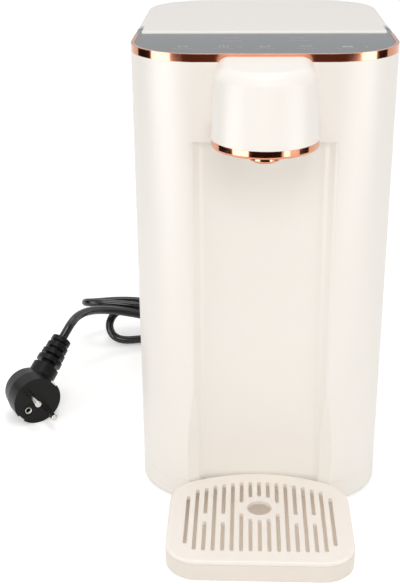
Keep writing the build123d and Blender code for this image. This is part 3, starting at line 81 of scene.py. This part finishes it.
def surface(name, light, dark, patch_mm, grain_mm, grain_depth_mm, rough, spread, edge_mm, **shader):
    """A moulded, plated or sheathed surface.

    Two close tones lie in soft patches of patch_mm, with a grain of grain_mm and grain_depth_mm.
    The gloss is uneven by spread, and sharp edges catch light as if rounded by edge_mm.
    """
    material, tree = new_material(name)
    place = add_node(tree, "ShaderNodeTexCoord").outputs["Object"]
    patches = {"Vector": place, "Scale": 1 / (patch_mm * MM), "Detail": 1.0}
    patch = add_node(tree, "ShaderNodeTexNoise", patches)
    grains = {"Vector": place, "Scale": 1 / (grain_mm * MM), "Detail": 2.0}
    grain = add_node(tree, "ShaderNodeTexNoise", grains)
    gloss = add_node(
        tree,
        "ShaderNodeMapRange",
        {"Value": patch.outputs["Fac"], "To Min": rough - spread, "To Max": rough + spread},
    )
    edge = add_node(tree, "ShaderNodeBevel", {"Radius": edge_mm * MM}, samples=4)
    relief = {
        "Height": grain.outputs["Fac"],
        "Distance": grain_depth_mm * MM,
        "Normal": edge.outputs["Normal"],
    }
    bump = add_node(tree, "ShaderNodeBump", relief)
    sockets = {
        "Base Color": mixed(tree, patch.outputs["Fac"], dark, light),
        "Roughness": gloss.outputs["Result"],
        "Normal": bump.outputs["Normal"],
    }
    body = add_node(tree, "ShaderNodeBsdfPrincipled", {**sockets, **shader})
    add_node(tree, "ShaderNodeOutputMaterial", {"Surface": body.outputs["BSDF"]})
    return material


def clear_plastic(name, tint, rough, ripple_mm, ripple_depth_mm):
    """See-through moulded plastic: tinted, with a face that ripples faintly over ripple_mm."""
    material, tree = new_material(name)
    place = add_node(tree, "ShaderNodeTexCoord").outputs["Object"]
    pattern = {"Vector": place, "Scale": 1 / (ripple_mm * MM), "Detail": 1.0}
    ripple = add_node(tree, "ShaderNodeTexNoise", pattern)
    relief = {"Height": ripple.outputs["Fac"], "Distance": ripple_depth_mm * MM}
    bump = add_node(tree, "ShaderNodeBump", relief)
    sockets = {
        "Base Color": linear(tint),
        "Roughness": rough,
        "IOR": 1.57,
        "Transmission Weight": 0.85,
        "Normal": bump.outputs["Normal"],
    }
    body = add_node(tree, "ShaderNodeBsdfPrincipled", sockets)
    add_node(tree, "ShaderNodeOutputMaterial", {"Surface": body.outputs["BSDF"]})
    return material


# Each finish gives two tones, then patch, grain and grain depth in millimetres, roughness and its spread,
# and the edge in millimetres.
# Injection-moulded ABS: a warm, even gloss with the faint ripple of the mould
cream_abs = surface("moulded_cream_abs", "#F6F1EA", "#F5EFE7", 120, 1.6, 0.003, 0.38, 0.02, 0.5, IOR=1.53)
tray_abs = surface("moulded_tray_abs", "#F9F2EA", "#F8F0E7", 90, 1.2, 0.004, 0.36, 0.03, 0.4, IOR=1.53)
# The basin is a darker copy of the tray's ABS: painted shade, so that the basin seen through the slots looks
# shaded
basin_abs_painted_shade = surface("moulded_basin_abs_painted_slot_shade", "#EDE4DA", "#EBE1D5", 90, 1.2, 0.004, 0.40, 0.03, 0.4, IOR=1.53)
lid_abs = surface("satin_white_abs", "#E4E0DB", "#E2DED8", 90, 0.9, 0.005, 0.36, 0.04, 0.5, IOR=1.53)
# Copper plating over polished plastic: a rosy mirror, slightly clouded
copper = surface("copper_plating", "#DE9C7E", "#D69174", 25, 8.0, 0.002, 0.11, 0.02, 0.25, Metallic=1.0)
# Tinted float glass: a grey body below a face that is lightly etched against glare
etched = {"Specular IOR Level": 0.2}
glass = surface(
    "tinted_panel_glass", "#5E6165", "#5C5F63", 80, 40.0, 0.001, 0.16, 0.02, 0.3, IOR=1.52, **etched
)
# Screen-printed ink on the glass
ink = surface("white_panel_ink", "#A9ABAD", "#A3A5A7", 4, 0.3, 0.002, 0.55, 0.05, 0.02, IOR=1.5)
silicone = surface("food_silicone", "#D8D5CC", "#CFCBC0", 12, 0.6, 0.004, 0.45, 0.05, 0.2, IOR=1.41)
foot_rubber = surface("moulded_rubber", "#1D1D1D", "#161616", 8, 0.5, 0.010, 0.65, 0.06, 0.2, IOR=1.52)
# Black PVC: a satin sheath with the drag marks of extrusion, and the plug's finer mould grain
cord_pvc = surface("black_pvc_sheath", "#070708", "#040405", 14, 0.8, 0.003, 0.15, 0.03, 0.1, IOR=1.53)
matt = {"Specular IOR Level": 0.22}
plug_pvc = surface(
    "moulded_black_pvc", "#080809", "#050506", 9, 0.5, 0.008, 0.34, 0.06, 0.4, IOR=1.53, **matt
)
nickel = surface("nickel_plating", "#D6D4CF", "#C9C7C1", 6, 3.0, 0.002, 0.16, 0.04, 0.2, Metallic=1.0)
steel = surface("bright_steel", "#C9CACC", "#BFC0C3", 7, 0.6, 0.003, 0.28, 0.05, 0.2, Metallic=1.0)
zinc = surface("zinc_motor_case", "#AEB1B3", "#9DA1A4", 9, 1.2, 0.006, 0.38, 0.06, 0.3, Metallic=1.0)
board = surface("solder_mask_board", "#1F5B36", "#1A4F2E", 5, 0.8, 0.010, 0.35, 0.05, 0.2, IOR=1.55)
polypropylene = surface(
    "plain_polypropylene", "#DAD9D3", "#D2D0CA", 14, 0.7, 0.005, 0.42, 0.05, 0.3, IOR=1.49
)
smoke = clear_plastic("smoky_clear_plastic", "#A4A1AE", 0.10, 18, 0.02)

finishes = {
    cream_abs: ["main_housing", "base_pan", "spout_housing", "spout_floor"],
    tray_abs: ["tray_grille"],
    basin_abs_painted_shade: ["tray_basin"],
    lid_abs: ["tank_lid"],
    copper: ["trim_band", "spout_ring", "nozzle_collar"],
    glass: ["glass_panel"],
    smoke: ["water_tank"],
    silicone: ["nozzle", "dock_seal", "valve_seal", "outlet_hose", "feed_hose", "inlet_hose"],
    foot_rubber: ["pump_cradle", "rubber_feet"],
    steel: [
        "base_screws", "spout_screws", "board_screws", "valve_spring", "touch_springs", "heater_tube",
        "heater_bracket",
    ],
    nickel: ["plug_pins", "plug_contacts"],
    board: ["touch_board", "control_board"],
    polypropylene: [
        "dock_cup", "pump_head", "pump_cover", "pump_impeller", "heater_caps", "valve_cage", "valve_plunger",
        "tank_float", "float_cap", "level_sensor", "thermal_cutout",
    ],
    zinc: ["pump_motor"],
    cord_pvc: ["cord_gland", "cord_tie", "mains_leads", "panel_cable"],
    plug_pvc: ["plug_body"],
}
for material, names in finishes.items():
    for name in names:
        for material_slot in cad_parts[name].material_slots:
            material_slot.material = material

# Places on the body, in millimetres
FRONT_Y = -62.4
GLASS_TOP = 298.35


def setback(distance):
    """Y of a point that lies this far behind the flat front face."""
    return FRONT_Y + distance


def ring(x, behind, radius, stroke, start, sweep):
    """A flat arc of ink: two concentric part circles joined by quads. Angles in degrees."""
    steps = 24
    angle = np.radians(start + np.linspace(0, sweep, steps + 1))
    way = np.stack([np.cos(angle), np.sin(angle)], axis=1)
    circles = np.concatenate([way * (radius - stroke / 2), way * (radius + stroke / 2)])
    spots = circles + (x, setback(behind))
    low = np.arange(steps)
    return spots, np.stack([low, low + steps + 1, low + steps + 2, low + 1], axis=1)


def bar(x, behind, width, depth):
    """A flat rectangle of ink about its middle."""
    corners = np.array([(-1, -1), (1, -1), (1, 1), (-1, 1)]) * (width / 2, depth / 2)
    return corners + (x, setback(behind)), np.array([(0, 1, 2, 3)])


# Touch panel print, in millimetres: five plain key signs with a line below each, a dash, a dot and two
# short pairs of lines
KEY_COUNT = 5
KEY_PITCH = 24.0
KEY_SETBACK = 24.0
KEY_LINE_DROP = 6.0
KEY_LINE = (12.0, 0.5)
STROKE = 0.7
INK_LIFT = 0.02
# Arc of each sign: start and sweep in degrees
SIGN_RADIUS = 2.6
SIGN_ARCS = ((0, 360), (120, 300), (120, 300), (0, 180), (0, 180))
# Strokes of the signs: key, distance behind the key's middle, width and depth
SIGN_STROKES = ((1, 2.4, STROKE, 3.0), (2, 0.0, 2.4, STROKE), (3, -0.4, 6.0, STROKE), (4, -1.4, 6.0, 2.8))
DASH_X = -14.5
DASH_WIDTH = 4.0
DOT_X = 59.0
DOT_DROP = 2.0
DOT_RADIUS = 0.5
# Lines of a pair: setback and width
PAIR_X = 20.0
PAIR_LINES = ((42.0, 13.0), (53.0, 9.0))
PAIR_STROKE = 0.8
key_x = [(key - KEY_COUNT // 2) * KEY_PITCH for key in range(KEY_COUNT)]
marks = [bar(x, KEY_SETBACK - KEY_LINE_DROP, *KEY_LINE) for x in key_x]
marks += [ring(x, KEY_SETBACK, SIGN_RADIUS, STROKE, *arc) for x, arc in zip(key_x, SIGN_ARCS)]
marks += [bar(key_x[key], KEY_SETBACK + behind, width, depth) for key, behind, width, depth in SIGN_STROKES]
marks.append(bar(DASH_X, KEY_SETBACK, DASH_WIDTH, STROKE))
marks.append(ring(DOT_X, KEY_SETBACK - DOT_DROP, DOT_RADIUS, 2 * DOT_RADIUS, 0, 360))
marks += [bar(x, behind, width, PAIR_STROKE) for x in (-PAIR_X, PAIR_X) for behind, width in PAIR_LINES]
firsts = np.cumsum([0] + [len(spots) for spots, quads in marks[:-1]])
ink_spots = np.concatenate([spots for spots, quads in marks])
ink_height = np.full((len(ink_spots), 1), GLASS_TOP + INK_LIFT)
ink_quads = np.concatenate([quads + first for (spots, quads), first in zip(marks, firsts)])
ink_mesh = bpy.data.meshes.new("panel_print")
ink_mesh.from_pydata(np.hstack([ink_spots, ink_height]) * MM, [], ink_quads.tolist())
ink_mesh.materials.append(ink)
panel_print = bpy.data.objects.new("panel_print", ink_mesh)
scene.collection.objects.link(panel_print)
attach(panel_print, "housing")

# Mains cord, in millimetres: where it leaves the gland and where it enters the plug's strain relief
CORD_RADIUS = 3.5
FLOOR_GAP = 0.55
FIT_GAP = 0.05
GLAND = Vector((28.0, 170.6, 26.0))
GLAND_RUN = 10.0
PLUG_RADIUS = 18.5
PLUG_FACE = Vector((-166.7, setback(100.8), PLUG_RADIUS + FIT_GAP))
RELIEF_ROOT = 14.0
RELIEF_LENGTH = 50.0
RELIEF_SOCKET = 8.0
heading, plug_roll, lean = (math.radians(a) for a in (-58.4, 38.8, 24.0))
pin_way = Vector((math.cos(heading), math.sin(heading), 0))
flat_way = Vector((-math.sin(heading), math.cos(heading), 0))
rim_way = flat_way * math.cos(plug_roll) + Vector((0, 0, math.sin(plug_roll)))
relief_way = rim_way * math.cos(lean) - pin_way * math.sin(lean)
relief_tip = PLUG_FACE - pin_way * RELIEF_ROOT + relief_way * RELIEF_LENGTH
relief_entry = relief_tip + relief_way * (RELIEF_SOCKET - FIT_GAP)

# Earth socket in the plug's face: a bright sleeve in the hole, inside a low moulded rim
EARTH_OFFSET = 10.0
EARTH_BORE = 2.6
SLEEVE_WALL = 0.4
SLEEVE_DEPTH = 6.0
SLEEVE_LIP = 0.3
RIM_RADIUS = 4.6
RIM_HALF_WIDTH = 0.45
RIM_STEPS = 12


def turned_piece(name, radii, heights, material):
    """A closed profile of radii and heights, turned about the earth hole's axis and joined by quads."""
    steps = 40
    angle = np.linspace(0, 2 * math.pi, steps, endpoint=False)[:, None]
    middle = PLUG_FACE - rim_way * EARTH_OFFSET
    side_way = np.array(pin_way.cross(rim_way))
    spoke = np.cos(angle) * np.array(rim_way) + np.sin(angle) * side_way
    reach = spoke[:, None, :] * np.array(radii)[:, None]
    rise = np.array(pin_way) * np.array(heights)[:, None]
    spots = (np.array(middle) + reach + rise).reshape(-1, 3)
    index = np.arange(steps * len(radii)).reshape(steps, len(radii))
    after = np.roll(index, -1, axis=0)
    quads = np.stack([index, after, np.roll(after, -1, axis=1), np.roll(index, -1, axis=1)], axis=2)
    mesh = bpy.data.meshes.new(name)
    mesh.from_pydata(spots * MM, [], quads.reshape(-1, 4).tolist())
    mesh.materials.append(material)
    mesh.shade_smooth()
    piece = bpy.data.objects.new(name, mesh)
    scene.collection.objects.link(piece)
    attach(piece, "housing")
    return piece


sleeve_outer = EARTH_BORE - FIT_GAP
sleeve_inner = sleeve_outer - SLEEVE_WALL
earth_sleeve = turned_piece(
    "plug_earth_sleeve",
    (sleeve_inner, sleeve_outer, sleeve_outer, sleeve_inner),
    (-SLEEVE_DEPTH, -SLEEVE_DEPTH, SLEEVE_LIP, SLEEVE_LIP),
    nickel,
)
rim_angle = np.linspace(0, 2 * math.pi, RIM_STEPS, endpoint=False)
earth_rim = turned_piece(
    "plug_earth_rim",
    RIM_RADIUS + RIM_HALF_WIDTH * np.cos(rim_angle),
    RIM_HALF_WIDTH * np.sin(rim_angle),
    plug_pvc,
)

# The hank: half turns at its two ends, and passes that lie side by side under the tie
TIE_X = -48.0
HANK_SETBACK = 244.5
HANK_HEIGHT = 26.0
BUNCH_PITCH = 8.2
BUNCH_CROWN = 3.5
LEFT_FAN = 5.5
RIGHT_FAN = 2.0
PASS_STEP = 28.0
DROP_RADIUS = 36.0
DROP_SWING = 120.0
DROP_STEPS = 3
TURN_TIPS = (-129.2, -6.0, -149.0, 3.0)
TURN_SETBACKS = (245.5, 258.0, 244.5, 234.0)
TURN_HEIGHTS = (15.3, 19.0, 37.3, 21.0)
TURN_RADII = (14.7, 13.0, 13.5, 16.1)
TURN_TILTS = (49.8, -20.0, 157.0, -112.0)
LEAD_PULL = Vector((-152.8, setback(239.6), 45.3))
LEAD_DROP = 19.8
LEAD_RUNS = 7


def drop_corner(step):
    """Corner of the cord's turn from the gland down to the table: a polygon drawn round a part circle."""
    swing = math.radians(DROP_SWING) / DROP_STEPS
    reach = DROP_RADIUS / math.cos(swing / 2)
    angle = swing * (step + 1 / 2)
    fall = (GLAND.z - CORD_RADIUS - FLOOR_GAP) * step / (DROP_STEPS - 1)
    x = GLAND.x - DROP_RADIUS + reach * math.cos(angle)
    return Vector((x, GLAND.y + GLAND_RUN + reach * math.sin(angle), GLAND.z - fall))


def turn_corners(turn):
    """Three corners of a half turn: half a hexagon round the turn's circle, tilted off the table."""
    radius = TURN_RADII[turn]
    tilt = math.radians(TURN_TILTS[turn])
    outward = 1 if turn % 2 else -1
    middle_x = TURN_TIPS[turn] - outward * radius
    middle = Vector((middle_x, setback(TURN_SETBACKS[turn]), TURN_HEIGHTS[turn]))
    across = Vector((0, math.cos(tilt), math.sin(tilt))) * radius
    shoulder = Vector((outward * radius * math.tan(math.pi / 6), 0, 0))
    return [middle + shoulder - across, middle + shoulder * 2, middle + shoulder + across]


def bunch_place(turn):
    """Place under the tie of the pass that follows a turn, and its rank from the middle of the bunch."""
    side = 1 if turn < len(TURN_TIPS) / 2 else -1
    rank = side * (turn % 2 + 1 / 2)
    behind = HANK_SETBACK + BUNCH_PITCH * rank
    return Vector((TIE_X, setback(behind), HANK_HEIGHT - BUNCH_CROWN * rank**2)), rank


def pass_sway(turn, rank):
    """Sideways bow of a pass between the tie and a turn: at the left end it grows from the plug's side."""
    return RIGHT_FAN * rank if turn % 2 else LEFT_FAN * (rank + 1 / 2)


def eased_run(start, end, sway, to_tie):
    """Corners between a turn and the tie: even steps along x, in line with the turn, swaying out midway."""
    steps = math.ceil(abs(end.x - start.x) / PASS_STEP)
    corners = []
    for step in range(1, steps):
        angle = math.pi * step / steps
        ease = 1 - math.cos(angle / 2) if to_tie else math.sin(angle / 2)
        across = start + (end - start) * ease
        x = start.x + (end.x - start.x) * step / steps
        corners.append(Vector((x, across.y + sway * math.sin(angle), across.z)))
    return corners


def lead_point(share):
    """Point of the free lead on its curve from the tie over to the plug."""
    left = 1 - share
    crest = relief_entry + relief_way * LEAD_DROP
    first = bunch_place(len(TURN_TIPS) - 1)[0]
    near = first * left**3 + LEAD_PULL * (3 * left**2 * share)
    return near + crest * (3 * left * share**2) + relief_entry * share**3


route = [GLAND - Vector((0, GLAND_RUN, 0))]
route += [drop_corner(step) for step in range(DROP_STEPS)]
rank = 0
for turn in range(len(TURN_TIPS)):
    corners = turn_corners(turn)
    route += eased_run(route[-1], corners[0], pass_sway(turn, rank), False) + corners
    place, rank = bunch_place(turn)
    route += eased_run(corners[-1], place, pass_sway(turn, rank), True) + [place]
route += [lead_point(run / LEAD_RUNS) for run in range(1, LEAD_RUNS + 1)]
route.append(relief_tip - relief_way * (RELIEF_SOCKET - FIT_GAP))

cord_line = bpy.data.curves.new("mains_cord_curve", "CURVE")
cord_line.dimensions = "3D"
cord_line.bevel_depth = CORD_RADIUS * MM
cord_line.bevel_resolution = 5
cord_line.resolution_u = 10
cord_line.use_fill_caps = True
strand = cord_line.splines.new("NURBS")
strand.points.add(len(route) - 1)
for control, corner in zip(strand.points, route):
    control.co = (*(corner * MM), 1.0)
strand.order_u = 3
strand.use_endpoint_u = True
cord = bpy.data.objects.new("mains_cord_visual", cord_line)
scene.collection.objects.link(cord)
cord_line.materials.append(cord_pvc)
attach(cord, "housing")
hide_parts("mains_cord")
on_cord = [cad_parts[name] for name in ("cord_tie", "plug_body", "plug_pins", "plug_contacts")]
on_cord += [earth_sleeve, earth_rim]

# Camera: fitted to the edges of body and tray in the photograph's frame of 400 by 584
FOCAL_PX = 1065.4
FRAME_HEIGHT_PX = 584
CAMERA_PLACE = (-0.0109, -0.6662, 0.4115)
pitch, yaw, roll = (math.radians(a) for a in (23.18, -2.58, -0.55))
ahead = Vector((math.sin(yaw) * math.cos(pitch), math.cos(yaw) * math.cos(pitch), -math.sin(pitch)))
level = Vector((math.cos(yaw), -math.sin(yaw), 0))
upright = level.cross(ahead)
right = level * math.cos(roll) + upright * math.sin(roll)
up = upright * math.cos(roll) - level * math.sin(roll)
lens = bpy.data.cameras.new("photo_camera")
lens.sensor_width = 36.0
lens.lens = FOCAL_PX * lens.sensor_width / FRAME_HEIGHT_PX
lens.clip_start = 0.01
camera = bpy.data.objects.new("photo_camera", lens)
axes = Matrix((right, up, -ahead)).transposed().to_4x4()
camera.matrix_world = Matrix.Translation(CAMERA_PLACE) @ axes
scene.collection.objects.link(camera)
scene.camera = camera


def flat_piece(name, corners, material):
    """A single quad of the studio, outside the object."""
    mesh = bpy.data.meshes.new(name)
    mesh.from_pydata(corners, [], [(0, 1, 2, 3)])
    mesh.materials.append(material)
    piece = bpy.data.objects.new(name, mesh)
    scene.collection.objects.link(piece)
    return piece


def background_share(tree):
    """1 for rays that show the background straight, mirrored or through clear pieces, and 0 for light."""
    rays = add_node(tree, "ShaderNodeLightPath").outputs
    direct = {0: rays["Is Camera Ray"], 1: rays["Is Glossy Ray"]}
    mirrored = add_node(tree, "ShaderNodeMath", direct, operation="MAXIMUM")
    clear = {0: mirrored.outputs[0], 1: rays["Is Transmission Ray"]}
    return add_node(tree, "ShaderNodeMath", clear, operation="MAXIMUM").outputs[0]


# Floor: pale, lifted to plain white where it is seen so that only the shadow shows, and more so far behind
FLOOR_REACH = 30.0
floor_white, tree = new_material("pale_floor")
pale = add_node(tree, "ShaderNodeBsdfDiffuse", {"Color": linear("#F4F4F3")})
place = add_node(tree, "ShaderNodeTexCoord").outputs["Object"]
behind = add_node(tree, "ShaderNodeSeparateXYZ", {"Vector": place}).outputs["Y"]
spans = {"From Min": 0.3, "From Max": 2.0, "To Min": 0.34, "To Max": 0.50}
glow = add_node(tree, "ShaderNodeMapRange", {"Value": behind, **spans}).outputs["Result"]
lift = add_node(tree, "ShaderNodeEmission", {"Color": (1, 1, 1, 1), "Strength": glow})
lifted = add_node(tree, "ShaderNodeAddShader", {0: pale.outputs["BSDF"], 1: lift.outputs["Emission"]})
shown = add_node(
    tree,
    "ShaderNodeMixShader",
    {"Fac": background_share(tree), 1: pale.outputs["BSDF"], 2: lifted.outputs["Shader"]},
)
add_node(tree, "ShaderNodeOutputMaterial", {"Surface": shown.outputs["Shader"]})
far_corners = [(x * FLOOR_REACH, y * FLOOR_REACH, 0) for x, y in ((-1, -1), (1, -1), (1, 1), (-1, 1))]
flat_piece("floor", far_corners, floor_white)


def studio_card(name, corners, code, strength):
    """A flat card of even brightness, seen only as a reflection in glossy faces."""
    material, tree = new_material(name)
    glow = add_node(tree, "ShaderNodeEmission", {"Color": linear(code), "Strength": strength})
    add_node(tree, "ShaderNodeOutputMaterial", {"Surface": glow.outputs["Emission"]})
    card = flat_piece(name, corners, material)
    card.visible_camera = False
    card.visible_diffuse = False
    card.visible_shadow = False
    card.visible_transmission = False


def upright_card(name, start, end, low, high, code, strength):
    """A studio card that stands between two points, from one height to another."""
    studio_card(name, [(*start, low), (*end, low), (*end, high), (*start, high)], code, strength)


# Cards that give the copper its dark stretches between bright ones, as a dim room with two lights does.
# The spout's ring mirrors the low cards and the trim band the high ones. Ends and heights are in metres.
WHITE = "#FFFFFF"
DIM = "#2A1C18"
HALF_DIM = "#5E4238"
REAR_GREY = "#DDDDDE"
PLAIN = 1.0
GLOW = 4.5
FLOOR_CARD_HEIGHT = 0.002
LOW = (0.002, 0.12)
HIGH = (0.12, 0.30)
upright_card("front_low", (-0.42, -0.72), (0.43, -0.72), *LOW, DIM, PLAIN)
upright_card("left_light_low", (-0.43, -0.70), (-0.66, -0.32), *LOW, WHITE, GLOW)
upright_card("left_low", (-0.67, -0.30), (-0.66, 0.20), *LOW, DIM, PLAIN)
upright_card("right_light_low", (0.41, -0.60), (0.49, -0.48), *LOW, WHITE, GLOW)
upright_card("right_low", (0.61, -0.26), (0.66, 0.05), *LOW, DIM, PLAIN)
upright_card("front_high", (-0.83, -0.72), (0.84, -0.72), *HIGH, HALF_DIM, PLAIN)
upright_card("left_light_high", (-0.54, -0.47), (-0.68, -0.10), *HIGH, WHITE, GLOW)
upright_card("left_high", (-0.68, -0.08), (-0.58, 0.28), *HIGH, DIM, PLAIN)
upright_card("right_light_high", (0.56, -0.44), (0.68, -0.16), *HIGH, WHITE, GLOW)
upright_card("right_high", (0.69, -0.14), (0.66, 0.14), *HIGH, DIM, PLAIN)
upright_card("rear_card", (-0.80, 1.20), (0.80, 1.20), 0.30, 0.90, REAR_GREY, PLAIN)
floor_card_ends = ((-0.42, -0.71), (0.43, -0.71), (0.30, -0.42), (-0.30, -0.42))
studio_card("floor_card", [(*end, FLOOR_CARD_HEIGHT) for end in floor_card_ends], DIM, PLAIN)

# Sky: plain white where it is seen, and dimmer as a light
SKY_LIGHT = 0.56
SKY_SEEN = 1.0
world = bpy.data.worlds.new("studio_sky")
scene.world = world
world.use_nodes = True
sky = world.node_tree
sky.nodes.clear()
levels = {"Value": background_share(sky), "To Min": SKY_LIGHT, "To Max": SKY_SEEN}
level_node = add_node(sky, "ShaderNodeMapRange", levels)
tint = {"Color": (1, 1, 1, 1), "Strength": level_node.outputs["Result"]}
sky_light = add_node(sky, "ShaderNodeBackground", tint)
add_node(sky, "ShaderNodeOutputWorld", {"Surface": sky_light.outputs["Background"]})


def softbox(name, place, aim, width, height, watts):
    """A large rectangular lamp at a place, turned to a point, in metres."""
    lamp = bpy.data.lights.new(name, "AREA")
    lamp.shape = "RECTANGLE"
    lamp.size = width
    lamp.size_y = height
    lamp.energy = watts
    box = bpy.data.objects.new(name, lamp)
    box.location = place
    box.rotation_euler = (Vector(aim) - Vector(place)).to_track_quat("-Z", "Y").to_euler()
    scene.collection.objects.link(box)
    return box


# Lamps: place and aim, then width and height, and power in watts
left_box = softbox("strip_left", (-1.10, -0.62, 0.62), (0, 0, 0.2), 0.45, 1.2, 2.85)
softbox("strip_right", (0.95, -0.82, 0.62), (0, 0, 0.2), 0.26, 1.2, 2.5)
softbox("softbox_rear", (0.0, 1.4, 1.5), (0, 0, 0.15), 0.8, 0.8, 1.8)
top_box = softbox("softbox_top", (0.0, 0.0, 1.6), (0, 0, 0.2), 0.6, 0.6, 4.8)
front_box = softbox("softbox_front", (0.0, -1.5, 1.2), (0, 0, 0.15), 0.6, 0.6, 5.7)

# Few light bounces leave the tray's slots too dark, so the plate doesn't keep these lamps off the basin.
# This is set on the lamps alone: the plate itself is plain opaque plastic.
thin_pieces = bpy.data.collections.new("thin_pieces")
thin_pieces.objects.link(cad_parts["tray_grille"])
thin_pieces.collection_objects[0].light_linking.link_state = "EXCLUDE"
for box in (left_box, top_box, front_box):
    box.light_linking.blocker_collection = thin_pieces
